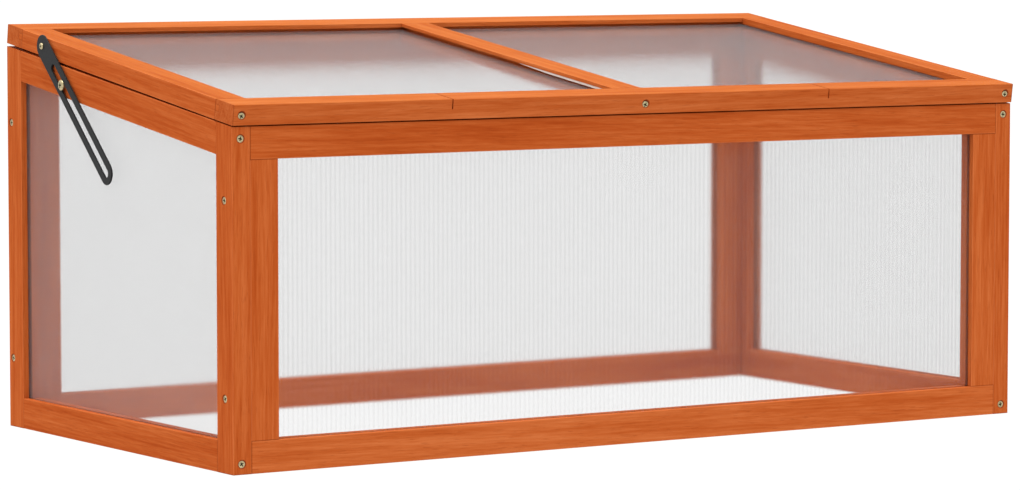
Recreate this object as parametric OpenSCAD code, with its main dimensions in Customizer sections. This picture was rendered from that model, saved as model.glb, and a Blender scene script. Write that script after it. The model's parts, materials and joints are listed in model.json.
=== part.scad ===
// Cold frame: a low timber box with a sloping top, glazed with twin-wall sheet,
// under a hinged glazed lid that a slotted stay holds open.
// +X is to the right seen from the front, +Y to the back, +Z up. The origin is on
// the ground in the middle of the box.

/* [Box] */
// Width of the box and of its lid
body_w = 1000; // [700:10:1400]
// Depth of the box from its front face to its back face
body_d = 504; // [420:2:700]
// Height of the front face
front_h = 350; // [260:5:450]
// Height of the back face
back_h = 418; // [350:1:500]

/* [Timber] */
// Thickness of the planed battens
stock_t = 21; // [20:0.5:26]
// Width of the battens in the box
stock_w = 33; // [30:0.5:40]
// Width of the stiles beside the front and back sheets
stile_w = 32; // [28:0.5:40]

/* [Glazing] */
// Thickness of the twin-wall sheet
sheet_t = 4; // [3:0.5:6]
// How far the sheets sit behind the outer face of the box
sheet_recess = 7; // [5:0.5:8]
// Depth of the grooves in the lid's front and back rails below its top face
lid_recess = 5; // [3.5:0.5:6]
// Depth of the lid's sheets below its top face
lid_sheet_depth = 7.8; // [7:0.1:9]
// Depth of the grooves that hold the sheets
groove_d = 8; // [6:0.5:9]
// How far a sheet reaches into its groove
sheet_grip = 7; // [5:0.5:8]

/* [Lid] */
// Length of the lid along its slope
lid_len = 510; // [420:1:710]
// Thickness of the lid
lid_t = 21; // [20:0.5:26]
// Slope of the lid in degrees
lid_angle = 7.9; // [7.7:0.05:8.1]
// Gap between the box and the lid at the front
lid_gap = 1.3; // [1:0.1:3]
// How far the lid stands out in front of the box
lid_overhang = 1.4; // [0:0.1:5]
// Width of the lid's front rail
lid_front_w = 37; // [34:0.5:45]
// Width of the lid's side rails
lid_side_w = 34; // [30:0.5:40]
// Width of the lid's back rail
lid_back_w = 36; // [34:0.5:45]
// Width of the middle bar of the lid
mullion_w = 35.5; // [28:0.5:45]
// Thickness of the lid's middle bar above its grooves
mullion_lip = 4; // [3.5:0.5:5]
// Width of the two saw kerfs that drain the lid sheets
kerf_w = 1.6; // [1.2:0.1:3]
// Depth of the drain kerfs
kerf_d = 10.5; // [9:0.5:12]

/* [Screws] */
// Diameter of a frame screw's head
screw_head_d = 7.6; // [7:0.1:9]
// Diameter of a frame screw's shank
screw_shank_d = 3.8; // [3:0.1:4.2]

/* [Hinges] */
// Distance of each hinge from the middle of the box
hinge_x = 320; // [200:5:330]
// Length of a hinge
hinge_len = 50; // [40:2:60]
// Width of a hinge leaf
leaf_w = 17; // [15:0.5:18]
// Thickness of a hinge leaf
leaf_t = 1.2; // [1:0.1:1.5]
// Radius of a hinge pin
pin_r = 1.5; // [1.2:0.1:1.6]

/* [Stay] */
// Distance from the stay's pivot to the end of its slot
stay_reach = 196; // [190:1:200]
// Width of the stay arm
stay_w = 24.5; // [22:0.5:28]
// Thickness of the stay arm
stay_t = 2; // [1.5:0.25:3]
// Width of the slot in the stay arm
slot_w = 9; // [8:0.5:10]
// Distance from the stay's pivot to the start of its slot
slot_start = 35; // [30:1:40]
// Angle of the stay arm below the horizontal with the lid shut
stay_angle = 41.5; // [41:0.1:42]

/* [Hidden] */
$fn = 48;

wood_colour = "#c4622c";
sheet_colour = "#e2e4e4";
steel_colour = "#3b3e40";
zinc_colour = "#c8b482";

// Half sizes and the inner faces of the box
half_w = body_w / 2;
half_d = body_d / 2;
inner_x = half_w - stock_t;
post_y = half_d - stock_w;
stile_x = inner_x - stile_w;
panel_y = half_d - stock_t;
top_slope = (back_h - front_h) / body_d;

// Grooves are a little wider than the sheets and tongues that they hold
groove_play = 0.3;
groove_w = sheet_t + 2 * groove_play;
sheet_outer_x = half_w - sheet_recess;
sheet_outer_y = half_d - sheet_recess;
tongue_play = 0.2;
tongue_end_play = 0.5;
tongue_len = groove_d - tongue_end_play;

// Screws: lengths, the play round them in their holes, and how deep the heads sit
frame_screw_len = 55;
stile_screw_len = 40;
lid_screw_len = 60;
hinge_screw_len = 14;
screw_play = 0.05;
head_rise = 2.6;
// Frame screws sit in countersinks that open wider above their heads
head_sink = 0.8;
mouth_flare = 0.9;
hinge_head_sink = 0.4;
hinge_mouth_flare = 0.1;
// Further sink of the heads in the sloping top rails
slope_sink = 0.5;
screw_tip = 5;

// Where the frame screws are
post_screw_inset = 10;
post_screw_low = 10.5;
post_screw_drop = 12;
stile_screw_low = 75.5;
front_stile_screw_high = 275.5;
back_stile_screw_high = 334.5;
front_stile_screw_y = -half_d + 17.5;
back_stile_screw_y = half_d - 8.5;
rail_screw_x = inner_x - stile_w / 2;
rail_screw_y = panel_y + 4;
lid_screw_n = 10.4;
lid_screw_x = half_w - post_screw_inset;

// The lid's own frame starts at its lower front edge, with s up the slope
lid_y = -half_d - lid_overhang;
lid_z = front_h + lid_gap;
lid_inner_s = lid_len - lid_back_w;
lid_sheet_n = lid_t - lid_sheet_depth - sheet_t;
lid_side_lip = lid_sheet_depth - groove_play;
lid_inner_x = half_w - lid_side_w;
bay_x = (lid_inner_x + mullion_w / 2) / 2;

// Hinge axis, worked out so that both leaves lie flat on their timber
knuckle_r = pin_r + leaf_t;
knuckle_play = 0.4;
axis_off = knuckle_r + knuckle_play;
pin_play = 0.05;
end_play = 0.25;
axis_y = half_d + axis_off;
axis_s = lid_len + axis_off;
axis_n = (axis_y - lid_y - axis_s * cos(lid_angle)) / -sin(lid_angle);
axis_z = lid_z + axis_s * sin(lid_angle) + axis_n * cos(lid_angle);
hinge_screw_x = hinge_len / 2 - 9;
hinge_screw_off = 11;
hinge_head_d = 5.4;
hinge_shank_d = 2.8;

// Stay: pivot on the lid, and the guide screw on the box
pivot_s = 418.5;
pivot_n = 11.6;
pivot_y = lid_y + pivot_s * cos(lid_angle) - pivot_n * sin(lid_angle);
pivot_z = lid_z + pivot_s * sin(lid_angle) + pivot_n * cos(lid_angle);
guide_reach = 61;
guide_y = pivot_y - guide_reach * cos(stay_angle);
guide_z = pivot_z - guide_reach * sin(stay_angle);
stay_off = 1.8;
stay_play = 0.2;
pivot_shank_r = 2.5;
pivot_play = 0.05;
pivot_head_r = 3.6;
pivot_head_h = 1.8;
guide_head_r = 5.8;
guide_head_h = 1.3;
stay_recess_w = 1;
pivot_recess = [4, 1.2];
guide_recess = [5, 0.8];
stay_screw_len = 20;
spacer_r = 7;

// Height of the box's sloping top at a given y
function top(y) = front_h + top_slope * (y + half_d);

// ---- Shared shapes ----

// Block between two corners
module block(low, high) {
    translate(low) cube(high - low);
}

// Prism across the box from x0 to x1, with its outline given as [y, z] points
module prism(x0, x1, outline) {
    translate([x0, 0, 0])
        rotate([90, 0, 90])
            linear_extrude(x1 - x0) polygon(outline);
}

// Outline from y0 to y1, flat at the bottom and cut to the slope at the top
function sloped(y0, y1, bottom, drop = 0) =
    [[y0, bottom], [y1, bottom], [y1, top(y1) - drop], [y0, top(y0) - drop]];

// The lid's own frame: X across, Y up the slope, Z out of its top face
module in_lid() {
    translate([0, lid_y, lid_z])
        rotate([lid_angle, 0, 0])
            children();
}

// Solid turned round the Z axis, with its outline given as [radius, z] points
module turned(outline) {
    rotate_extrude() polygon(outline);
}

// Cross-shaped driver recess, cut down from z = 0 towards +Z
module cross_recess(len, wide, deep) {
    for (turn = [0, 90])
        rotate(turn)
            translate([-len / 2, -wide / 2, -1])
                cube([len, wide, deep + 1]);
}

// Countersunk screw pointing along +Z, with the head's rim at z = 0
module screw(len, head_d = screw_head_d, shank_d = screw_shank_d) {
    difference() {
        turned([
            [0, 0], [head_d / 2, 0], [shank_d / 2, head_rise],
            [shank_d / 2, len - screw_tip], [shank_d / 8, len], [0, len]]);
        cross_recess(head_d * 0.58, head_d * 0.13, head_rise * 0.6);
    }
}

// Hole for that screw, with its countersink, open above the timber's face
module screw_hole(len, head_d = screw_head_d, shank_d = screw_shank_d,
                  sink = head_sink, flare = mouth_flare) {
    hole_r = shank_d / 2 + screw_play;
    seat_r = head_d / 2 + screw_play;
    mouth_r = seat_r + flare;
    above = -sink - 2;
    turned([
        [0, above], [mouth_r, above], [mouth_r, -sink], [seat_r, 0], [hole_r, head_rise],
        [hole_r, len + 1], [0, len + 1]]);
}

// ---- Places of the screws: each module puts its children at every place ----

// Through the posts' front or back faces into the ends of the side rails
module at_post_screws(front) {
    side = front ? -1 : 1;
    high = top(side * half_d) - post_screw_drop;
    for (x = [-1, 1] * (half_w - post_screw_inset), z = [post_screw_low, high])
        translate([x, side * (half_d - head_sink), z])
            rotate([side * 90, 0, 0])
                children();
}

// Through the posts' side faces into the stiles
module at_stile_screws(front) {
    y = front ? front_stile_screw_y : back_stile_screw_y;
    high = front ? front_stile_screw_high : back_stile_screw_high;
    for (side = [-1, 1], z = [stile_screw_low, high])
        translate([side * (half_w - head_sink), y, z])
            rotate([0, -side * 90, 0])
                children();
}

// Down through the top rails and up through the bottom rails into the stiles
module at_rail_screws(front) {
    y = (front ? -1 : 1) * rail_screw_y;
    for (x = [-1, 1] * rail_screw_x) {
        translate([x, y, head_sink]) children();
        translate([x, y, top(y) - head_sink - slope_sink]) rotate([180, 0, 0]) children();
    }
}

// Through the lid's front or back rail into the side rails and the mullion
module at_lid_screws(front) {
    for (x = [-lid_screw_x, 0, lid_screw_x])
        in_lid()
            translate([x, front ? head_sink : lid_len - head_sink, lid_screw_n])
                rotate([front ? -90 : 90, 0, 0])
                    children();
}

// Through the hinge leaves: box side, then lid side
module at_hinge_frame_screws() {
    for (side = [-1, 1], dx = [-1, 1] * hinge_screw_x)
        translate([side * hinge_x + dx, half_d + leaf_t - hinge_head_sink,
                   axis_z - hinge_screw_off])
            rotate([90, 0, 0])
                children();
}

module at_hinge_lid_screws() {
    for (side = [-1, 1], dx = [-1, 1] * hinge_screw_x)
        in_lid()
            translate([side * hinge_x + dx, lid_len + leaf_t - hinge_head_sink,
                       axis_n + hinge_screw_off])
                rotate([90, 0, 0])
                    children();
}

module hinge_screw_hole() {
    screw_hole(hinge_screw_len, hinge_head_d, hinge_shank_d,
               hinge_head_sink, hinge_mouth_flare);
}

// ---- Posts ----

// Corner post: side is -1 on the left, and end is -1 at the front
module post(side, end) {
    x0 = side < 0 ? -half_w : inner_x;
    y0 = end < 0 ? -half_d : post_y;
    groove_y = end < 0 ? -post_y - groove_d : post_y - 1;
    groove_x = side < 0 ? -sheet_outer_x - groove_play : sheet_outer_x + groove_play - groove_w;
    groove_z = stock_w - groove_d;
    color(wood_colour)
        difference() {
            prism(x0, x0 + stock_t, sloped(y0, y0 + stock_w, 0));
            prism(groove_x, groove_x + groove_w,
                  sloped(groove_y, groove_y + groove_d + 1, groove_z, stock_w - groove_d));
            at_post_screws(end < 0) screw_hole(frame_screw_len);
            at_stile_screws(end < 0) screw_hole(stile_screw_len);
        }
}

// ---- Front and back panels ----

// Top rail between the posts, with its groove underneath
module top_rail(end) {
    y0 = end < 0 ? -half_d : panel_y;
    low = top(end * half_d) - stock_w;
    groove_y = end < 0 ? -sheet_outer_y - groove_play : sheet_outer_y + groove_play - groove_w;
    color(wood_colour)
        difference() {
            prism(-inner_x, inner_x, sloped(y0, y0 + stock_t, low));
            block([-inner_x - 1, groove_y, low - 1], [inner_x + 1, groove_y + groove_w, low + groove_d]);
            at_rail_screws(end < 0) screw_hole(frame_screw_len);
            if (end > 0) at_hinge_frame_screws() hinge_screw_hole();
        }
}

// Bottom rail between the posts, with its groove on top
module bottom_rail(end) {
    y0 = end < 0 ? -half_d : panel_y;
    groove_y = end < 0 ? -sheet_outer_y - groove_play : sheet_outer_y + groove_play - groove_w;
    color(wood_colour)
        difference() {
            block([-inner_x, y0, 0], [inner_x, y0 + stock_t, stock_w]);
            block([-inner_x - 1, groove_y, stock_w - groove_d],
                  [inner_x + 1, groove_y + groove_w, stock_w + 1]);
            at_rail_screws(end < 0) screw_hole(frame_screw_len);
        }
}

// Stile beside a post, with a tongue at each end in the rails' grooves
module stile(side, end) {
    x0 = side < 0 ? -inner_x : stile_x;
    y0 = end < 0 ? -half_d : panel_y;
    high = top(end * half_d) - stock_w;
    groove_x = side < 0 ? -stile_x - groove_d : stile_x - 1;
    groove_y = end < 0 ? -sheet_outer_y - groove_play : sheet_outer_y + groove_play - groove_w;
    color(wood_colour)
        difference() {
            union() {
                block([x0, y0, stock_w], [x0 + stile_w, y0 + stock_t, high]);
                block([x0, groove_y + tongue_play, stock_w - tongue_len],
                      [x0 + stile_w, groove_y + groove_w - tongue_play, high + tongue_len]);
            }
            block([groove_x, groove_y, 0], [groove_x + groove_d + 1, groove_y + groove_w, back_h]);
            at_stile_screws(end < 0) screw_hole(stile_screw_len);
            at_rail_screws(end < 0) screw_hole(frame_screw_len);
        }
}

// Sheet in the front or back panel
module panel_sheet(end) {
    half = stile_x + sheet_grip;
    y0 = end < 0 ? -sheet_outer_y : sheet_outer_y - sheet_t;
    color(sheet_colour)
        block([-half, y0, stock_w - sheet_grip],
              [half, y0 + sheet_t, top(end * half_d) - stock_w + sheet_grip]);
}

// ---- Side panels ----

// Sloping top rail between the posts
module side_top_rail(side) {
    x0 = side < 0 ? -half_w : inner_x;
    groove_x = side < 0 ? -sheet_outer_x - groove_play : sheet_outer_x + groove_play - groove_w;
    low = stock_w - groove_d;
    color(wood_colour)
        difference() {
            prism(x0, x0 + stock_t, [
                [-post_y, top(-post_y) - stock_w], [post_y, top(post_y) - stock_w],
                [post_y, top(post_y)], [-post_y, top(-post_y)]]);
            prism(groove_x, groove_x + groove_w, [
                [-half_d, top(-half_d) - stock_w - 1], [half_d, top(half_d) - stock_w - 1],
                [half_d, top(half_d) - low], [-half_d, top(-half_d) - low]]);
            at_post_screws(true) screw_hole(frame_screw_len);
            at_post_screws(false) screw_hole(frame_screw_len);
            if (side < 0) at_guide() stay_screw_hole();
        }
}

// Level bottom rail between the posts
module side_bottom_rail(side) {
    x0 = side < 0 ? -half_w : inner_x;
    groove_x = side < 0 ? -sheet_outer_x - groove_play : sheet_outer_x + groove_play - groove_w;
    color(wood_colour)
        difference() {
            block([x0, -post_y, 0], [x0 + stock_t, post_y, stock_w]);
            block([groove_x, -half_d, stock_w - groove_d], [groove_x + groove_w, half_d, stock_w + 1]);
            at_post_screws(true) screw_hole(frame_screw_len);
            at_post_screws(false) screw_hole(frame_screw_len);
        }
}

// Sheet in a side panel, cut to the slope
module side_sheet(side) {
    x0 = side < 0 ? -sheet_outer_x : sheet_outer_x - sheet_t;
    reach = post_y + sheet_grip;
    color(sheet_colour)
        prism(x0, x0 + sheet_t,
              sloped(-reach, reach, stock_w - sheet_grip, stock_w - sheet_grip));
}

// ---- Lid ----

// Groove along a lid member, between two places on its edge, under a lip of a thickness
module lid_groove(low, high, lip = lid_recess) {
    block([low[0], low[1], lid_sheet_n - groove_play], [high[0], high[1], lid_t - lip]);
}

// Tongue that a lid member pushes into the front and back rails' grooves
module lid_tongue(x0, x1) {
    n0 = lid_sheet_n - groove_play + tongue_play;
    n1 = lid_t - lid_recess - tongue_play;
    block([x0, lid_front_w - tongue_len, n0], [x1, lid_inner_s + tongue_len, n1]);
}

module lid_front_rail() {
    color(wood_colour)
        difference() {
            in_lid()
                difference() {
                    block([-half_w, 0, 0], [half_w, lid_front_w, lid_t]);
                    lid_groove([-half_w - 1, lid_front_w - groove_d], [half_w + 1, lid_front_w + 1]);
                    for (x = [-bay_x, bay_x])
                        block([x - kerf_w / 2, -1, lid_t - kerf_d],
                              [x + kerf_w / 2, lid_front_w + 1, lid_t + 1]);
                }
            at_lid_screws(true) screw_hole(lid_screw_len);
        }
}

module lid_back_rail() {
    color(wood_colour)
        difference() {
            in_lid()
                difference() {
                    block([-half_w, lid_inner_s, 0], [half_w, lid_len, lid_t]);
                    lid_groove([-half_w - 1, lid_inner_s - 1], [half_w + 1, lid_inner_s + groove_d]);
                }
            at_lid_screws(false) screw_hole(lid_screw_len);
            at_hinge_lid_screws() hinge_screw_hole();
        }
}

module lid_side_rail(side) {
    x0 = side < 0 ? -half_w : lid_inner_x;
    groove_x = side < 0 ? -lid_inner_x - groove_d : lid_inner_x - 1;
    color(wood_colour)
        difference() {
            in_lid()
                difference() {
                    union() {
                        block([x0, lid_front_w, 0], [x0 + lid_side_w, lid_inner_s, lid_t]);
                        lid_tongue(x0, x0 + lid_side_w);
                    }
                    lid_groove([groove_x, 0], [groove_x + groove_d + 1, lid_len], lid_side_lip);
                }
            at_lid_screws(true) screw_hole(lid_screw_len);
            at_lid_screws(false) screw_hole(lid_screw_len);
            if (side < 0) at_pivot() stay_screw_hole(pivot_shank_r);
        }
}

module lid_mullion() {
    half = mullion_w / 2;
    color(wood_colour)
        difference() {
            in_lid()
                difference() {
                    union() {
                        block([-half, lid_front_w, 0], [half, lid_inner_s, lid_t]);
                        lid_tongue(-half, half);
                    }
                    lid_groove([half - groove_d, 0], [half + 1, lid_len], mullion_lip);
                    lid_groove([-half - 1, 0], [groove_d - half, lid_len], mullion_lip);
                }
            at_lid_screws(true) screw_hole(lid_screw_len);
            at_lid_screws(false) screw_hole(lid_screw_len);
        }
}

module lid_sheet(side) {
    near = mullion_w / 2 - sheet_grip;
    far = lid_inner_x + sheet_grip;
    x0 = side < 0 ? -far : near;
    color(sheet_colour)
        in_lid()
            block([x0, lid_front_w - sheet_grip, lid_sheet_n],
                  [x0 + far - near, lid_inner_s + sheet_grip, lid_sheet_n + sheet_t]);
}

// ---- Hinges ----

// Stretch of the hinge's barrel along X, round an axis at y = 0, z = 0
module knuckle(x0, x1, bore_r) {
    translate([x0, 0, 0])
        rotate([0, 90, 0])
            difference() {
                cylinder(h = x1 - x0, r = knuckle_r);
                translate([0, 0, -1]) cylinder(h = x1 - x0 + 2, r = bore_r);
            }
}

// Room round the same axis for a knuckle of the other leaf
module knuckle_room(x0, x1) {
    reach = axis_off + 1;
    translate([x0, -reach, -axis_off])
        cube([x1 - x0, 2 * reach, 2 * axis_off]);
}

// Leaf plate that hangs from the axis, with its timber face at y = -axis_off
module leaf_plate(x0) {
    block([x0, -axis_off, -leaf_w], [x0 + hinge_len, leaf_t - axis_off, 0]);
}

// Leaf on the box: the outer knuckles
module hinge_frame_leaf(side) {
    x0 = side * hinge_x - hinge_len / 2;
    near = x0 + hinge_len / 3 - end_play;
    far = x0 + 2 * hinge_len / 3 + end_play;
    color(steel_colour)
        difference() {
            translate([0, axis_y, axis_z]) {
                difference() {
                    leaf_plate(x0);
                    knuckle_room(near, far);
                }
                knuckle(x0, near, pin_r);
                knuckle(far, x0 + hinge_len, pin_r);
            }
            at_hinge_frame_screws() hinge_screw_hole();
        }
}

// Leaf on the lid: the middle knuckle
module hinge_lid_leaf(side) {
    x0 = side * hinge_x - hinge_len / 2;
    near = x0 + hinge_len / 3 + end_play;
    far = x0 + 2 * hinge_len / 3 - end_play;
    color(steel_colour)
        difference() {
            in_lid()
                translate([0, axis_s, axis_n]) {
                    difference() {
                        mirror([0, 0, 1]) leaf_plate(x0);
                        knuckle_room(x0 - 1, near);
                        knuckle_room(far, x0 + hinge_len + 1);
                    }
                    knuckle(near, far, pin_r + pin_play);
                }
            at_hinge_lid_screws() hinge_screw_hole();
        }
}

module hinge_pin(side) {
    proud = 0.4;
    color(steel_colour)
        translate([side * hinge_x - hinge_len / 2 - proud, axis_y, axis_z])
            rotate([0, 90, 0])
                cylinder(h = hinge_len + 2 * proud, r = pin_r);
}

// ---- Stay ----

// Axes of the pivot and the guide screw, with +Z pointing into the timber
module at_pivot() {
    translate([-half_w, pivot_y, pivot_z]) rotate([0, 90, 0]) children();
}

module at_guide() {
    translate([-half_w, guide_y, guide_z]) rotate([0, 90, 0]) children();
}

module stay_screw_hole(shank_r = screw_shank_d / 2) {
    translate([0, 0, -1])
        cylinder(h = stay_screw_len + 2, r = shank_r + screw_play);
}

module stay_arm() {
    end_r = stay_w / 2;
    slot_r = slot_w / 2;
    color(steel_colour)
        translate([-half_w - stay_off - stay_t, pivot_y, pivot_z])
            rotate([90, 0, 90])
                linear_extrude(stay_t)
                    rotate(stay_angle)
                        difference() {
                            union() {
                                circle(r = end_r);
                                translate([-stay_reach, 0]) circle(r = end_r);
                                translate([-stay_reach, -end_r]) square([stay_reach, stay_w]);
                            }
                            circle(r = pivot_shank_r + pivot_play);
                            translate([-slot_start, 0]) circle(r = slot_r);
                            translate([-stay_reach, 0]) circle(r = slot_r);
                            translate([-stay_reach, -slot_r])
                                square([stay_reach - slot_start, slot_w]);
                        }
}

module stay_pivot_screw() {
    under = -stay_off - stay_t - stay_play;
    head_z = under - pivot_head_h;
    color(zinc_colour)
        at_pivot()
            difference() {
                turned([
                    [0, head_z], [pivot_head_r * 0.7, head_z], [pivot_head_r, under],
                    [pivot_shank_r, under], [pivot_shank_r, stay_screw_len], [0, stay_screw_len]]);
                translate([0, 0, head_z])
                    cross_recess(pivot_recess[0], stay_recess_w, pivot_recess[1]);
            }
}

module stay_pivot_spacer() {
    color(zinc_colour)
        at_pivot()
            translate([0, 0, -stay_off + stay_play])
                difference() {
                    cylinder(h = stay_off - stay_play, r = spacer_r);
                    translate([0, 0, -1]) cylinder(h = stay_off + 2, r = pivot_shank_r + screw_play);
                }
}

module stay_guide_screw() {
    shank_r = screw_shank_d / 2;
    color(zinc_colour)
        at_guide()
            difference() {
                turned([
                    [0, -guide_head_h], [guide_head_r, -guide_head_h], [guide_head_r, 0],
                    [shank_r, 0], [shank_r, stay_screw_len], [0, stay_screw_len]]);
                translate([0, 0, -guide_head_h])
                    cross_recess(guide_recess[0], stay_recess_w, guide_recess[1]);
            }
}

// ---- Screw groups ----

module front_post_screws() { color(zinc_colour) at_post_screws(true) screw(frame_screw_len); }
module back_post_screws() { color(zinc_colour) at_post_screws(false) screw(frame_screw_len); }
module front_stile_screws() { color(zinc_colour) at_stile_screws(true) screw(stile_screw_len); }
module back_stile_screws() { color(zinc_colour) at_stile_screws(false) screw(stile_screw_len); }
module front_rail_screws() { color(zinc_colour) at_rail_screws(true) screw(frame_screw_len); }
module back_rail_screws() { color(zinc_colour) at_rail_screws(false) screw(frame_screw_len); }
module lid_front_screws() { color(zinc_colour) at_lid_screws(true) screw(lid_screw_len); }
module lid_back_screws() { color(zinc_colour) at_lid_screws(false) screw(lid_screw_len); }

module hinge_frame_screws() {
    color(zinc_colour) at_hinge_frame_screws() screw(hinge_screw_len, hinge_head_d, hinge_shank_d);
}

module hinge_lid_screws() {
    color(zinc_colour) at_hinge_lid_screws() screw(hinge_screw_len, hinge_head_d, hinge_shank_d);
}

post(-1, -1);  // front_left_post
post(1, -1);  // front_right_post
post(-1, 1);  // back_left_post
post(1, 1);  // back_right_post
top_rail(-1);  // front_top_rail
bottom_rail(-1);  // front_bottom_rail
stile(-1, -1);  // front_left_stile
stile(1, -1);  // front_right_stile
top_rail(1);  // back_top_rail
bottom_rail(1);  // back_bottom_rail
stile(-1, 1);  // back_left_stile
stile(1, 1);  // back_right_stile
side_top_rail(-1);  // left_top_rail
side_bottom_rail(-1);  // left_bottom_rail
side_top_rail(1);  // right_top_rail
side_bottom_rail(1);  // right_bottom_rail
panel_sheet(-1);  // front_sheet
panel_sheet(1);  // back_sheet
side_sheet(-1);  // left_sheet
side_sheet(1);  // right_sheet
lid_front_rail();
lid_back_rail();
lid_side_rail(-1);  // lid_left_rail
lid_side_rail(1);  // lid_right_rail
lid_mullion();
lid_sheet(-1);  // lid_left_sheet
lid_sheet(1);  // lid_right_sheet
hinge_frame_leaf(-1);  // left_hinge_frame_leaf
hinge_lid_leaf(-1);  // left_hinge_lid_leaf
hinge_pin(-1);  // left_hinge_pin
hinge_frame_leaf(1);  // right_hinge_frame_leaf
hinge_lid_leaf(1);  // right_hinge_lid_leaf
hinge_pin(1);  // right_hinge_pin
hinge_frame_screws();
hinge_lid_screws();
stay_arm();
stay_pivot_screw();
stay_pivot_spacer();
stay_guide_screw();
front_post_screws();
back_post_screws();
front_stile_screws();
back_stile_screws();
front_rail_screws();
back_rail_screws();
lid_front_screws();
lid_back_screws();
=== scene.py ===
"""Looks of the cold frame: stained softwood battens with twin-wall glazing,
a hinged glazed lid and a slotted steel stay. Everything is in metres, in the CAD's frame."""
import json
import math
import random

import bmesh
import bpy
import numpy as np
from mathutils import Matrix, Vector

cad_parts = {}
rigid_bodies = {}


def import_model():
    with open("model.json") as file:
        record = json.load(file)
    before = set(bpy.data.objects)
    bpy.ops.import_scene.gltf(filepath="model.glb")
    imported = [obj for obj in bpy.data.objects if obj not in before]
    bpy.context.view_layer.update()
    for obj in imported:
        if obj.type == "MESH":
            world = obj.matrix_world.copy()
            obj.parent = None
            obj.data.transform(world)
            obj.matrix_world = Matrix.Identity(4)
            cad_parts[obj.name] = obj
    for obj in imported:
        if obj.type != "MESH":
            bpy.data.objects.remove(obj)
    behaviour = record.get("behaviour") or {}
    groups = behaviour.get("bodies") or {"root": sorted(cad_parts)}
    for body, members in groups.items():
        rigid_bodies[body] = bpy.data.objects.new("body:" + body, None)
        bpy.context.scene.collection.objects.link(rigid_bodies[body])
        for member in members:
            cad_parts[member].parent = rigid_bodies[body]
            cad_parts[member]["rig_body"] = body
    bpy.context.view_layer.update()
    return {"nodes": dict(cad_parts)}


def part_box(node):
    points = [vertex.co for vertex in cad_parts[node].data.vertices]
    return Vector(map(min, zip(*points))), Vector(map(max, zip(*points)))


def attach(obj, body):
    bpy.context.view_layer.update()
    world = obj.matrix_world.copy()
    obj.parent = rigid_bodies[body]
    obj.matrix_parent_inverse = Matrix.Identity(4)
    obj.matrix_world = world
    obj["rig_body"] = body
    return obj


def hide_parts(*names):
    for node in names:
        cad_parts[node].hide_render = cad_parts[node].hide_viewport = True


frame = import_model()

MM = 0.001
X, Y, Z = Vector((1, 0, 0)), Vector((0, 1, 0)), Vector((0, 0, 1))
# The box is this much taller at the back than at the front, over its depth
RISE, DEPTH = 68 * MM, 504 * MM
BOX_SLOPE = math.atan(RISE / DEPTH)
LID_SLOPE = math.radians(7.9)
UP_BOX = Vector((0, math.cos(BOX_SLOPE), math.sin(BOX_SLOPE)))
UP_LID = Vector((0, math.cos(LID_SLOPE), math.sin(LID_SLOPE)))
OUT_LID = Vector((0, -math.sin(LID_SLOPE), math.cos(LID_SLOPE)))

# Timber: arris rounding, and the stub tenons that reach into grooves
ARRIS = 0.45 * MM
LONGEST_END = 37.5 * MM
TENON = 7.5 * MM
# A face of a countersink or screw hole is smaller than this
HOLE_FACE = 8 * MM * MM
# How much lighter or darker a piece is than the others, on top of its random tone
TONES = {
    "front_bottom_rail": 0.13, "front_top_rail": -0.12, "front_left_stile": -0.11,
    "front_left_post": -0.07, "left_top_rail": -0.13, "left_bottom_rail": -0.18,
    "lid_left_rail": -0.03, "lid_front_rail": 0.07,
}
# Twin-wall sheet
FLUTE = 5.6 * MM
SKIN = 0.4 * MM
RIB = 0.35 * MM
SEAM = 0.01 * MM
BLUR = 0.10
# How deep the middle bar's lips are, and the pale strip's places along the bar, its height
# at each of them, and its two sides, counted from the bar's own side
MULLION_LIP = 4 * MM
STRIP = ((0, 2.4 * MM), (130 * MM, 2.1 * MM), (185 * MM, 0.3 * MM))
STRIP_SIDES = 0.3 * MM, 1.1 * MM


# ---- Materials ----

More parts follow.
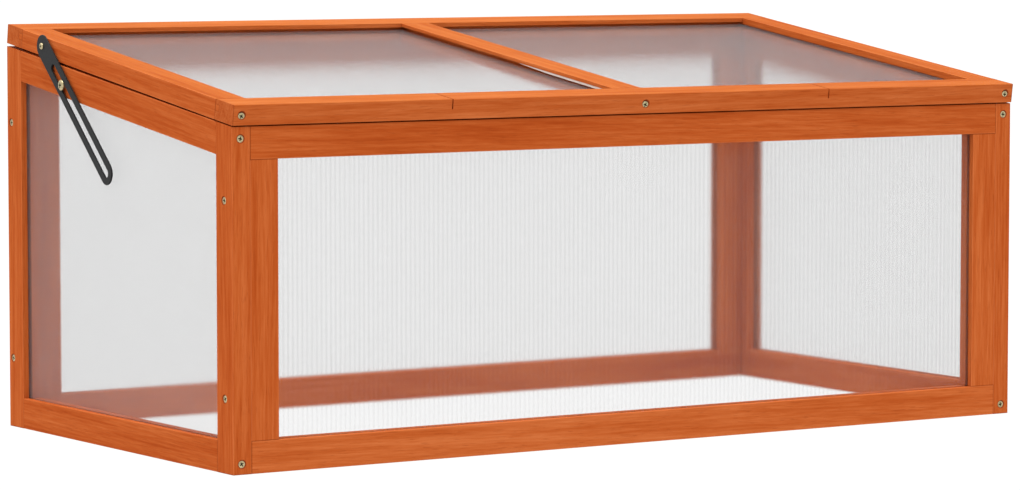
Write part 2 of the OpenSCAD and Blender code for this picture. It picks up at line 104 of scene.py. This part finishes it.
class Graph:
    """Short ways to add and join the nodes of one material."""

    def __init__(self, name):
        self.material = bpy.data.materials.new(name)
        self.material.use_nodes = True
        self.tree = self.material.node_tree
        self.tree.nodes.clear()

    def put(self, socket, value):
        if isinstance(value, bpy.types.NodeSocket):
            self.tree.links.new(value, socket)
        else:
            socket.default_value = value

    def add(self, kind, inputs=(), **settings):
        made = self.tree.nodes.new("ShaderNode" + kind)
        for key, value in settings.items():
            setattr(made, key, value)
        for key, value in dict(inputs).items():
            self.put(made.inputs[key], value)
        return made

    def math(self, operation, *values):
        made = self.add("Math", operation=operation)
        for socket, value in zip(made.inputs, values):
            self.put(socket, value)
        return made.outputs[0]

    def vector(self, operation, *values):
        made = self.add("VectorMath", operation=operation)
        for socket, value in zip(made.inputs, values):
            self.put(socket, value)
        return made.outputs["Value" if operation == "LENGTH" else "Vector"]

    def attribute(self, name):
        return self.add("Attribute", attribute_name=name)

    def noise(self, vector, scale=1.0, detail=3.0, roughness=0.5):
        return self.add("TexNoise", {
            "Vector": vector, "Scale": scale, "Detail": detail, "Roughness": roughness,
        }).outputs["Fac"]

    def spread(self, value, amount):
        """value runs from 0 to 1 round its middle; this runs from -amount / 2 to amount / 2."""
        return self.math("MULTIPLY", self.math("SUBTRACT", value, 0.5), amount)

    def fade(self, value, start, end):
        """1 at start and beyond it, 0 at end, smooth between."""
        return self.add("MapRange", {
            "Value": value, "From Min": start, "From Max": end, "To Min": 1.0, "To Max": 0.0,
        }, interpolation_type="SMOOTHSTEP").outputs["Result"]

    def ramp(self, value, stops):
        made = self.add("ValToRGB", {"Fac": value})
        elements = made.color_ramp.elements
        while len(elements) < len(stops):
            elements.new(0.5)
        for element, (place, colour) in zip(elements, stops):
            element.position = place
            element.color = (*colour, 1)
        return made.outputs["Color"]

    def mix(self, amount, first, second):
        made = self.add("Mix", data_type="RGBA")
        self.put(made.inputs["Factor"], amount)
        for socket, colour in ((made.inputs[6], first), (made.inputs[7], second)):
            self.put(socket, colour if isinstance(colour, bpy.types.NodeSocket) else (*colour, 1))
        return made.outputs[2]

    def bump(self, height, distance):
        return self.add("Bump", {"Height": height, "Distance": distance}).outputs["Normal"]

    def mix_shader(self, amount, first, second):
        made = self.add("MixShader", {"Fac": amount})
        self.put(made.inputs[1], first)
        self.put(made.inputs[2], second)
        return made.outputs[0]

    def finish(self, shader):
        output = self.tree.nodes.new("ShaderNodeOutputMaterial")
        self.tree.links.new(shader, output.inputs["Surface"])
        return self.material


def timber_material(name, darkening=None, tint=None):
    """Stained softwood. "grain" runs along and across each piece's own fibres, and
    "section" gives the place in the piece's section and along it. Cut faces, which have a
    darkening, take up more stain; the strong darkening given to countersinks and screw holes
    is also painted shade in those hollows. A tint scales the colour, to hold back faces that the
    overhead lamp makes too bright: it is a correction for this light, not a real stain."""
    g = Graph(name)
    grain = g.attribute("grain").outputs["Vector"]

    def stretched(along, across):
        return g.vector("MULTIPLY", grain, (along, across, across))

    # Growth rings round a pith that lies outside the piece
    wander = g.spread(g.noise(stretched(2.6, 30.0), detail=3.0), 0.014)
    radius = g.math("ADD", g.vector("LENGTH", g.vector("MULTIPLY", grain, (0, 1, 1))), wander)
    wave = g.math("SINE", g.math("MULTIPLY", radius, 2 * math.pi / 0.0046))
    rings = g.math("POWER", g.math("MULTIPLY_ADD", wave, 0.5, 0.5), 2.2)
    fibres = g.noise(stretched(26.0, 520.0), detail=4.0, roughness=0.6)
    streaks = g.noise(stretched(5.0, 125.0), detail=3.0)
    clouds = g.noise(stretched(1.6, 22.0), detail=2.0)
    flecks = g.fade(g.noise(stretched(60.0, 1200.0), detail=1.0), 0.30, 0.37)

    tone = g.attribute("tone").outputs["Fac"]
    for value, amount in ((rings, -0.08), (fibres, 0.80), (streaks, 0.80), (clouds, 0.45)):
        tone = g.math("ADD", tone, g.spread(value, amount))
    colour = g.ramp(tone, (
        (0.0, (0.300, 0.043, 0.006)),
        (0.30, (0.380, 0.067, 0.0115)),
        (0.50, (0.430, 0.089, 0.0185)),
        (0.70, (0.481, 0.113, 0.028)),
        (1.0, (0.555, 0.155, 0.047)),
    ))
    colour = g.mix(g.math("MULTIPLY", flecks, 0.30), colour, (0.20, 0.030, 0.006))
    if tint is not None:
        colour = g.vector("MULTIPLY", colour, tint)

    if darkening is not None:
        colour = g.mix(darkening, colour, (0.17, 0.030, 0.010))
    else:
        # Arrises are a little lighter, partly wear and partly a painted highlight along each edge,
        # and stain has run in at the ends
        place = g.add("SeparateXYZ", {"Vector": g.attribute("section").outputs["Vector"]}).outputs
        in_from = [g.math("MULTIPLY", g.math("SUBTRACT", 1.0, g.math("ABSOLUTE", place[k])), 13.0)
                   for k in (0, 1)]
        arris = g.math("MAXIMUM", *in_from)
        ragged = g.math("ADD", arris, g.spread(g.noise(stretched(25.0, 150.0)), 1.6))
        wear_and_highlight = g.math("MULTIPLY", g.fade(ragged, 0.1, 1.2), 0.24)
        colour = g.mix(wear_and_highlight, colour, (0.66, 0.20, 0.070))
        to_end = g.math("ABSOLUTE", g.math("SUBTRACT", g.attribute("reach").outputs["Fac"],
                                           g.math("ABSOLUTE", place[2])))
        colour = g.mix(g.math("MULTIPLY", g.fade(to_end, 0.2 * MM, 1.1 * MM), 0.62),
                       colour, (0.14, 0.020, 0.004))

    height = g.math("ADD", g.math("MULTIPLY", fibres, 0.8), g.math("MULTIPLY", rings, 0.2))
    roughness = g.math("ADD", 0.55, g.spread(fibres, 0.35))
    shader = g.add("BsdfPrincipled", {
        "Base Color": colour,
        "Roughness": roughness,
        "Specular IOR Level": 0.005,
        "Normal": g.bump(height, 0.18 * MM),
    })
    return g.finish(shader.outputs[0])


def sheet_material(name, dark, light, veil, veil_grazing, tint, blur=False):
    """Clear polycarbonate seen through: light passes on with a faint veil, which grows
    towards grazing angles. Where blur is set, what is seen through it is a little soft."""
    g = Graph(name)
    spot = g.add("TexCoord").outputs["Object"]
    facing = g.add("LayerWeight", {"Blend": 0.5}).outputs["Facing"]
    amount = g.math("MULTIPLY_ADD", g.math("POWER", facing, 2.18), veil_grazing, veil)
    cloud = g.noise(spot, scale=30.0, detail=2.0)
    scuff = g.noise(spot, scale=900.0, detail=2.0)
    body = g.add("BsdfPrincipled", {
        "Base Color": g.ramp(cloud, ((0.25, dark), (0.75, light))),
        "Roughness": g.math("ADD", 0.2, g.spread(scuff, 0.14)),
        "IOR": 1.58,
        "Normal": g.bump(scuff, 0.05 * MM),
    })
    through = g.add("BsdfTransparent", {"Color": (*tint, 1)}).outputs[0]
    if blur:
        soft = g.add("BsdfRefraction", {"Color": (*tint, 1), "IOR": 1.2, "Roughness": BLUR},
                     distribution="BECKMANN")
        path = g.add("LightPath").outputs
        straight = g.math("MAXIMUM", path["Is Shadow Ray"], path["Is Diffuse Ray"])
        through = g.mix_shader(straight, soft.outputs[0], through)
    return g.finish(g.mix_shader(g.math("MINIMUM", amount, 1.0), through, body.outputs[0]))


def metal_material(name, dark, light, roughness, metallic, bump, specular=0.5):
    """Plated or painted steel with faint mottling and a fine grain."""
    g = Graph(name)
    spot = g.add("TexCoord").outputs["Object"]
    mottle = g.noise(spot, scale=260.0, detail=3.0)
    grit = g.noise(spot, scale=2600.0, detail=2.0)
    both = g.math("ADD", g.math("MULTIPLY", mottle, 0.7), g.math("MULTIPLY", grit, 0.3))
    shader = g.add("BsdfPrincipled", {
        "Base Color": g.ramp(both, ((0.32, dark), (0.66, light))),
        "Roughness": g.math("ADD", roughness, g.spread(both, 0.25)),
        "Metallic": metallic,
        "Specular IOR Level": specular,
        "Normal": g.bump(grit, bump),
    })
    return g.finish(shader.outputs[0])


def floor_material():
    """White studio floor, lit from below enough to leave only a faint contact shadow."""
    g = Graph("floor")
    spot = g.add("TexCoord").outputs["Object"]
    tone = g.ramp(g.noise(spot, scale=3.0, detail=2.0),
                  ((0.3, (0.022, 0.022, 0.022)), (0.7, (0.026, 0.026, 0.026))))
    shader = g.add("BsdfPrincipled", {
        "Base Color": tone,
        "Roughness": 0.9,
        "Specular IOR Level": 0.0,
        "Emission Color": (1, 1, 1, 1),
        "Emission Strength": 1.0,
    })
    return g.finish(shader.outputs[0])


# ---- Shared helpers ----

def add_piece(name, mesh, materials, body, slot, *nodes):
    """Makes an object of the mesh that rides on body and stands for the CAD nodes."""
    for material in materials:
        mesh.materials.append(material)
    piece = bpy.data.objects.new(name, mesh)
    bpy.context.scene.collection.objects.link(piece)
    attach(piece, body)
    if nodes:
        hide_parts(*nodes)
    return piece


def mesh_from(bm, name):
    bmesh.ops.recalc_face_normals(bm, faces=bm.faces)
    mesh = bpy.data.meshes.new(name)
    bm.to_mesh(mesh)
    bm.free()
    return mesh


def corners(mesh):
    spots = np.zeros(len(mesh.vertices) * 3)
    mesh.vertices.foreach_get("co", spots)
    return spots.reshape(-1, 3)


def eased_mesh(node, offset, segments, longer_than=0.0, away_from=()):
    """The CAD node's shape with its sharp edges rounded, where they are longer than a length
    and lie away from the given x places."""
    bm = bmesh.new()
    bm.from_mesh(frame["nodes"][node].data)
    bmesh.ops.remove_doubles(bm, verts=bm.verts, dist=0.002 * MM)
    bmesh.ops.dissolve_limit(bm, angle_limit=math.radians(0.6), verts=bm.verts, edges=bm.edges)
    sharp = [e for e in bm.edges
             if e.is_manifold and e.calc_face_angle() > math.radians(50)
             and e.calc_length() > longer_than
             and all(abs((e.verts[0].co.x + e.verts[1].co.x) / 2 - x) > 6 * MM for x in away_from)]
    bmesh.ops.bevel(bm, geom=sharp, offset=offset, segments=segments, profile=0.5,
                    affect="EDGES", clamp_overlap=False)
    return mesh_from(bm, node)


# ---- Timber ----

def write_attribute(mesh, name, kind, field, values):
    layer = mesh.attributes.new(name, kind, "POINT")
    layer.data.foreach_set(field, np.asarray(values, dtype=np.float32).ravel())


def batten(node, along, tenon=0.0, away_from=()):
    """Replaces a timber node with the same shape, its long arrises rounded, and tells its
    material where the fibres run."""
    mesh = eased_mesh(node, ARRIS, 3, longer_than=LONGEST_END, away_from=away_from)
    chance = random.Random(node)
    wide = along.cross(X if abs(along.x) < 0.5 else Z).normalized()
    thick = along.cross(wide)
    places = corners(mesh) @ np.array([along, wide, thick]).T
    low, high = places.min(0), places.max(0)
    centre, half = (low + high) / 2, (high - low) / 2
    local = places - centre
    fibre = local.copy()
    for k in (1, 2):
        fibre[:, k] += math.tan(math.radians(chance.uniform(-1.6, 1.6))) * local[:, 0]
    pith = np.array([chance.uniform(0, 9),
                     chance.choice((-1, 1)) * chance.uniform(0.028, 0.070),
                     chance.choice((-1, 1)) * chance.uniform(0.020, 0.060)])
    write_attribute(mesh, "grain", "FLOAT_VECTOR", "vector", fibre + pith)
    write_attribute(mesh, "section", "FLOAT_VECTOR", "vector",
                    np.stack([local[:, 1] / half[1], local[:, 2] / half[2], local[:, 0]], 1))
    write_attribute(mesh, "reach", "FLOAT", "value", np.full(len(local), half[0] - tenon))
    write_attribute(mesh, "tone", "FLOAT", "value",
                    np.full(len(local), 0.5 + chance.uniform(-0.05, 0.05) + TONES.get(node, 0)))
    for face in mesh.polygons:
        # Small faces of holes and countersinks get the darkened timber, partly painted shade in
        # those hollows
        if face.area < HOLE_FACE:
            face.material_index = 2
        elif abs(face.normal.dot(along)) > 0.9:
            face.material_index = 1
        elif node.startswith("lid") and face.normal.dot(OUT_LID) > 0.5:
            face.material_index = 3
    body = frame["nodes"][node]["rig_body"]
    materials = [timber, end_grain, countersink, lid_top]
    return add_piece(node + "_batten", mesh, materials, body, "timber", node)


# ---- Twin-wall sheets ----

def twin_wall(node, across, along, normal, materials, outer_high):
    """Replaces a sheet node with two skins and the ribs between them, which run along the
    sheet. The outer skin is the one on normal's side where outer_high is True."""
    places = corners(frame["nodes"][node].data) @ np.array([across, along, normal]).T
    low, high = places.min(0), places.max(0)

    def end(u, top):
        """How far the sheet reaches at one of its two sides, as its ends may slope."""
        near = places[np.abs(places[:, 0] - u) < 0.1 * MM][:, 1]
        return near.max() if top else near.min()

    ends = [[end(u, top) for u in (low[0], high[0])] for top in (False, True)]
    bm = bmesh.new()

    def slab(u0, u1, level0, level1, part):
        """Closed block that runs the length of the sheet."""
        spots = [[[across * u + along * (e[0] + (u - low[0]) / (high[0] - low[0]) * (e[1] - e[0]))
                   + normal * level for level in (level0, level1)] for e in ends]
                 for u in (u0, u1)]
        a, b = [[[bm.verts.new(spot) for spot in pair] for pair in side] for side in spots]
        for loop in ((a[0][0], a[1][0], a[1][1], a[0][1]), (b[0][0], b[0][1], b[1][1], b[1][0]),
                     (a[0][0], b[0][0], b[1][0], a[1][0]), (a[0][1], a[1][1], b[1][1], b[0][1]),
                     (a[0][0], a[0][1], b[0][1], b[0][0]), (a[1][0], b[1][0], b[1][1], a[1][1])):
            bm.faces.new(loop).material_index = part

    slab(low[0], high[0], low[2], low[2] + SKIN, 1 if outer_high else 0)
    slab(low[0], high[0], high[2] - SKIN, high[2], 0 if outer_high else 1)
    count = int((high[0] - low[0] - RIB) // FLUTE)
    spare = (high[0] - low[0] - count * FLUTE) / 2
    for k in range(count + 1):
        middle = low[0] + spare + k * FLUTE
        slab(middle - RIB / 2, middle + RIB / 2, low[2] + SKIN + SEAM, high[2] - SKIN - SEAM, 2)
    mesh = mesh_from(bm, node)
    body = frame["nodes"][node]["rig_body"]
    return add_piece(node + "_twinwall", mesh, materials, body, "sheet", node)


# What the strip is made of is not known; it puts a pale streak along the middle bar's left side
def pale_streak_strip():
    """Pale strip under the middle bar's left lip, from the front rail to halfway up the
    lid, where it tapers out."""
    axes = np.array([X, UP_LID, OUT_LID])
    places = corners(frame["nodes"]["lid_mullion"].data) @ axes.T
    low, high = places.min(0), places.max(0)
    start, top = low[1] + TENON, high[2] - MULLION_LIP - SEAM
    bm = bmesh.new()
    sections = []
    inner, outer = STRIP_SIDES
    for reach, height in STRIP:
        sections.append([bm.verts.new(Vector(np.array(spot) @ axes)) for spot in (
            (low[0] + x, start + reach, top - drop)
            for x, drop in ((inner, 0), (outer, 0), (outer, height), (inner, height)))])
    for a, b in zip(sections, sections[1:]):
        for k in range(4):
            bm.faces.new((a[k], a[(k + 1) % 4], b[(k + 1) % 4], b[k]))
    bm.faces.new(sections[0])
    bm.faces.new(sections[-1])
    return add_piece("lid_sealing_strip", mesh_from(bm, "pale_streak_strip"), [pale_strip_surface], "lid", "sheet")


# ---- Screws ----

def screw_places(node):
    """The CAD screws of a node, each as a matrix with its origin in the middle of the head's
    face and its Z axis pointing at the tip."""
    bm = bmesh.new()
    bm.from_mesh(frame["nodes"][node].data)
    bmesh.ops.remove_doubles(bm, verts=bm.verts, dist=0.002 * MM)
    left = set(bm.verts)
    found = []
    while left:
        island, edge = set(), [next(iter(left))]
        while edge:
            vert = edge.pop()
            if vert not in island:
                island.add(vert)
                edge.extend(e.other_vert(vert) for e in vert.link_edges)
        left -= island
        spots = np.array([v.co for v in island])
        centre = (spots.min(0) + spots.max(0)) / 2
        axis = np.linalg.svd(spots - spots.mean(0), full_matrices=False)[2][0]
        depth = (spots - centre) @ axis
        radius = np.linalg.norm(spots - centre - np.outer(depth, axis), axis=1)
        if depth[radius.argmax()] > 0:
            axis, depth = -axis, -depth
        turn = Vector(axis).to_track_quat("Z", "X").to_matrix().to_4x4()
        head = Vector(centre + axis * depth.min())
        found.append(Matrix.Translation(head) @ turn)
    bm.free()
    found.sort(key=lambda place: tuple(round(c, 4) for c in place.translation))
    return found


def lathe(outline, steps=40):
    """Closed solid turned round Z from [radius, z] points that start and end on the axis."""
    bm = bmesh.new()
    rings = []
    for radius, z in outline:
        if radius == 0:
            rings.append([bm.verts.new((0, 0, z))])
        else:
            rings.append([bm.verts.new((radius * math.cos(2 * math.pi * k / steps),
                                        radius * math.sin(2 * math.pi * k / steps), z))
                          for k in range(steps)])
    for a, b in zip(rings, rings[1:]):
        for k in range(steps):
            j = (k + 1) % steps
            if len(a) == 1:
                bm.faces.new((a[0], b[j], b[k]))
            elif len(b) == 1:
                bm.faces.new((a[k], a[j], b[0]))
            else:
                bm.faces.new((a[k], a[j], b[j], b[k]))
    return mesh_from(bm, "lathe")


def cross_cutter(reach, width, top, depth):
    """Tapered cross that cuts a driver recess from z = top down to z = depth."""
    half = width / 2
    outline = [(half, reach), (half, half), (reach, half)]
    plus = []
    for quarter in range(4):
        for x, y in outline:
            for _ in range(quarter):
                x, y = y, -x
            plus.append((x, y))
    bm = bmesh.new()
    upper = [bm.verts.new((x, y, top)) for x, y in plus]
    lower = [bm.verts.new((x * 0.5, y * 0.5, depth)) for x, y in plus]
    bm.faces.new(upper)
    bm.faces.new(list(reversed(lower)))
    for k in range(len(plus)):
        j = (k + 1) % len(plus)
        bm.faces.new((upper[k], lower[k], lower[j], upper[j]))
    return mesh_from(bm, "cross_cutter")


def cut(mesh, cutter):
    """The mesh with the cutter's shape taken out."""
    target = bpy.data.objects.new("target", mesh)
    tool = bpy.data.objects.new("tool", cutter)
    for made in (target, tool):
        bpy.context.scene.collection.objects.link(made)
    modifier = target.modifiers.new("cut", "BOOLEAN")
    modifier.operation, modifier.solver, modifier.object = "DIFFERENCE", "EXACT", tool
    graph = bpy.context.evaluated_depsgraph_get()
    result = bpy.data.meshes.new_from_object(target.evaluated_get(graph))
    for made in (target, tool):
        bpy.data.objects.remove(made)
    return result


def screw_mesh(head_r, outline):
    """Screw from its outline in metres, with a cross recess in its head."""
    top = min(z for _, z in outline)
    cutter = cross_cutter(head_r * 0.62, head_r * 0.34, top - 0.2 * MM, top + head_r * 0.55)
    mesh = cut(lathe(outline), cutter)
    # Faces inside the cross take the second material, a near-black that is painted shade in the
    # hollow
    for face in mesh.polygons:
        middle = face.center
        if math.hypot(middle.x, middle.y) < head_r * 0.62 and top + 0.05 * MM < middle.z < head_r:
            face.material_index = 1
    return mesh


def countersunk(head_r, shank_r, length):
    rim = 0.25 * MM
    head = 2.6 * MM
    return screw_mesh(head_r, [
        (0, 0), (head_r - rim, 0), (head_r, rim), (shank_r * 1.15, head), (shank_r, head + 1 * MM),
        (shank_r, length - 5 * MM), (shank_r * 0.2, length), (0, length)])


def domed(head_r, head_h, shank_r, length):
    """Pan or truss head whose underside is at z = 0, with the shank pointing along +Z."""
    steps = 6
    dome = []
    for k in range(steps + 1):
        turn = math.pi / 2 * k / steps
        dome.append((head_r * (0.45 + 0.55 * math.sin(turn)) if k else head_r * 0.45,
                     -head_h * (0.25 + 0.75 * math.cos(turn))))
    return screw_mesh(head_r * 0.85, [
        (0, -head_h), *dome, (head_r, 0), (shank_r, 0), (shank_r, length), (0, length)])


def joined(template, places, name, chance):
    """One mesh with a copy of the template at every place, each turned at random."""
    bm = bmesh.new()
    for place in places:
        copy = template.copy()
        copy.transform(place @ Matrix.Rotation(chance.uniform(0, math.pi / 2), 4, "Z"))
        bm.from_mesh(copy)
    mesh = mesh_from(bm, name)
    mesh.shade_smooth()
    mesh.set_sharp_from_angle(angle=math.radians(32))
    return mesh


def screws(node, template):
    mesh = joined(template, screw_places(node), node, random.Random(node))
    body = frame["nodes"][node]["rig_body"]
    return add_piece(node + "_turned", mesh, [zinc, recess], body, "zinc", node)


# ---- The object ----

timber = timber_material("timber")
end_grain = timber_material("end_grain", 0.18)
# Countersinks and screw holes: much darker, partly stain taken up by the cut wood, partly painted
# shade in the hollow round each screw head
countersink = timber_material("countersink", 0.72)
lid_top = timber_material("lid_top", tint=(0.80, 0.95, 0.90))
# The lid's sheets are taken to be the same product as the walls'. Their darker body and other
# veil are corrections for the overhead lamp, which they face.
PALE, PALER = (0.47, 0.47, 0.475), (0.54, 0.54, 0.545)
DULL, DULLER = (0.35, 0.35, 0.355), (0.31, 0.31, 0.315)
VEIL, VEIL_GRAZING, LID_GRAZING = 0.0175, 0.186, 0.15
SKIN_TINT, RIB_TINT, LID_RIB_TINT = (0.975,) * 3, (0.977,) * 3, (0.988,) * 3
wall_outer = sheet_material("wall_outer", PALE, PALER, VEIL, VEIL_GRAZING, SKIN_TINT, blur=True)
wall_inner = sheet_material("wall_inner", PALE, PALER, VEIL, VEIL_GRAZING, SKIN_TINT)
lid_outer = sheet_material("lid_outer", DULLER, DULL, VEIL, LID_GRAZING, SKIN_TINT, blur=True)
lid_inner = sheet_material("lid_inner", DULLER, DULL, VEIL, LID_GRAZING, SKIN_TINT)
rib = sheet_material("rib", PALE, PALER, 0.006, 0.0, RIB_TINT)
lid_rib = sheet_material("lid_rib", PALE, PALER, 0.006, 0.0, LID_RIB_TINT)
zinc = metal_material("yellow_zinc", (0.30, 0.25, 0.13), (0.62, 0.52, 0.30), 0.34, 0.75, 0.02 * MM)
# Colour of the pale strip under the middle bar's lip
pale_strip_surface = metal_material("pale_strip_surface", (0.60, 0.49, 0.43), (0.66, 0.56, 0.50),
                         0.5, 0.0, 0.02 * MM, 0.1)
# Cross recesses of the screw heads: near-black, a painted shade in the hollow of the cross
recess = metal_material("driver_recess_painted_shade", (0.035, 0.035, 0.020), (0.085, 0.080, 0.045),
                        0.55, 0.3, 0.01 * MM, 0.2)
black_steel = metal_material("black_steel", (0.010, 0.010, 0.0105), (0.017, 0.017, 0.0175),
                             0.46, 0.0, 0.02 * MM, 0.10)
hinge_steel = metal_material("hinge_steel", (0.36, 0.36, 0.34), (0.56, 0.56, 0.53),
                             0.38, 0.9, 0.01 * MM)

for side in ("left", "right"):
    for end in ("front", "back"):
        batten(f"{end}_{side}_post", Z)
        batten(f"{end}_{side}_stile", Z, TENON)
    batten(f"{side}_top_rail", UP_BOX)
    batten(f"{side}_bottom_rail", Y)
    batten(f"lid_{side}_rail", UP_LID, TENON)
    twin_wall(f"{side}_sheet", Y, Z, X, [wall_outer, wall_inner, rib], side == "right")
    twin_wall(f"lid_{side}_sheet", X, UP_LID, OUT_LID, [lid_outer, lid_inner, lid_rib], True)
for end in ("front", "back"):
    batten(f"{end}_top_rail", X)
    batten(f"{end}_bottom_rail", X)
    twin_wall(f"{end}_sheet", X, Z, Y, [wall_outer, wall_inner, rib], end == "back")
lid_sheet_low, lid_sheet_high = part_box("lid_right_sheet")
KERF_X = (lid_sheet_low.x + lid_sheet_high.x) / 2
batten("lid_front_rail", X, away_from=(-KERF_X, KERF_X))
batten("lid_back_rail", X)
batten("lid_mullion", UP_LID, TENON)
pale_streak_strip()

frame_screw = countersunk(3.8 * MM, 1.9 * MM, 40 * MM)
hinge_screw = countersunk(2.7 * MM, 1.4 * MM, 14 * MM)
for node in ("front_post_screws", "back_post_screws", "front_stile_screws",
             "back_stile_screws", "front_rail_screws", "back_rail_screws",
             "lid_front_screws", "lid_back_screws"):
    screws(node, frame_screw)
for node in ("hinge_frame_screws", "hinge_lid_screws"):
    screws(node, hinge_screw)

# Stay arm with softened edges, and its two domed screws
arm = add_piece("stay_arm_plate", eased_mesh("stay_arm", 0.35 * MM, 2), [black_steel],
                "stay", "black_steel", "stay_arm")
arm_low, arm_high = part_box("stay_arm")
HEAD_CLEARANCE = 0.2 * MM


def stay_screw(node, head_r, head_h, shank_r, length):
    """Domed screw whose head stands over the arm; its axis runs along X into the timber."""
    low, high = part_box(node)
    middle = (low + high) / 2
    under_head = Vector((arm_low.x - HEAD_CLEARANCE, middle.y, middle.z))
    place = Matrix.Translation(under_head) @ Matrix.Rotation(math.pi / 2, 4, "Y")
    mesh = joined(domed(head_r, head_h, shank_r, length), [place], node, random.Random(node))
    body = frame["nodes"][node]["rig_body"]
    return add_piece(node + "_domed", mesh, [zinc, recess], body, "zinc", node)


stay_screw("stay_pivot_screw", 3.6 * MM, 1.6 * MM, 2.5 * MM, 22 * MM)
stay_screw("stay_guide_screw", 5.8 * MM, 1.7 * MM, 3.0 * MM, 22 * MM)

for node in ("left_hinge_frame_leaf", "left_hinge_lid_leaf", "left_hinge_pin",
             "right_hinge_frame_leaf", "right_hinge_lid_leaf", "right_hinge_pin"):
    frame["nodes"][node].data.materials.clear()
    frame["nodes"][node].data.materials.append(hinge_steel)
frame["nodes"]["stay_pivot_spacer"].data.materials.clear()
frame["nodes"]["stay_pivot_spacer"].data.materials.append(zinc)

# ---- Stage, light and camera ----

FLOOR_SIZE = 90.0
bm = bmesh.new()
bmesh.ops.create_grid(bm, x_segments=1, y_segments=1, size=FLOOR_SIZE / 2)
floor = bpy.data.objects.new("floor", mesh_from(bm, "floor"))
floor.data.materials.append(floor_material())
floor.location.z = -0.2 * MM
bpy.context.scene.collection.objects.link(floor)

world = bpy.data.worlds.new("studio")
world.use_nodes = True
world.node_tree.nodes["Background"].inputs["Color"].default_value = (1, 1, 1, 1)
world.node_tree.nodes["Background"].inputs["Strength"].default_value = 1.0
bpy.context.scene.world = world

lamp = bpy.data.lights.new("overhead", "SUN")
lamp.energy = 4.5
lamp.angle = math.radians(60)
overhead = bpy.data.objects.new("overhead", lamp)
overhead.rotation_euler = (math.radians(6), math.radians(-8), 0)
bpy.context.scene.collection.objects.link(overhead)

lens = bpy.data.cameras.new("camera")
lens.sensor_width = 36
lens.lens = 150.48
camera = bpy.data.objects.new("camera", lens)
camera.location = (-2.5716, -3.9717, 0.5596)
camera.rotation_euler = (math.radians(90 - 4.407), 0, math.radians(-32.852))
bpy.context.scene.collection.objects.link(camera)
bpy.context.scene.camera = camera

bpy.context.scene.view_settings.view_transform = "Standard"
bpy.context.scene.view_settings.look = "None"
bpy.context.scene.cycles.transparent_max_bounces = 64
bpy.context.scene.cycles.max_bounces = 16
bpy.context.scene.cycles.transmission_bounces = 16
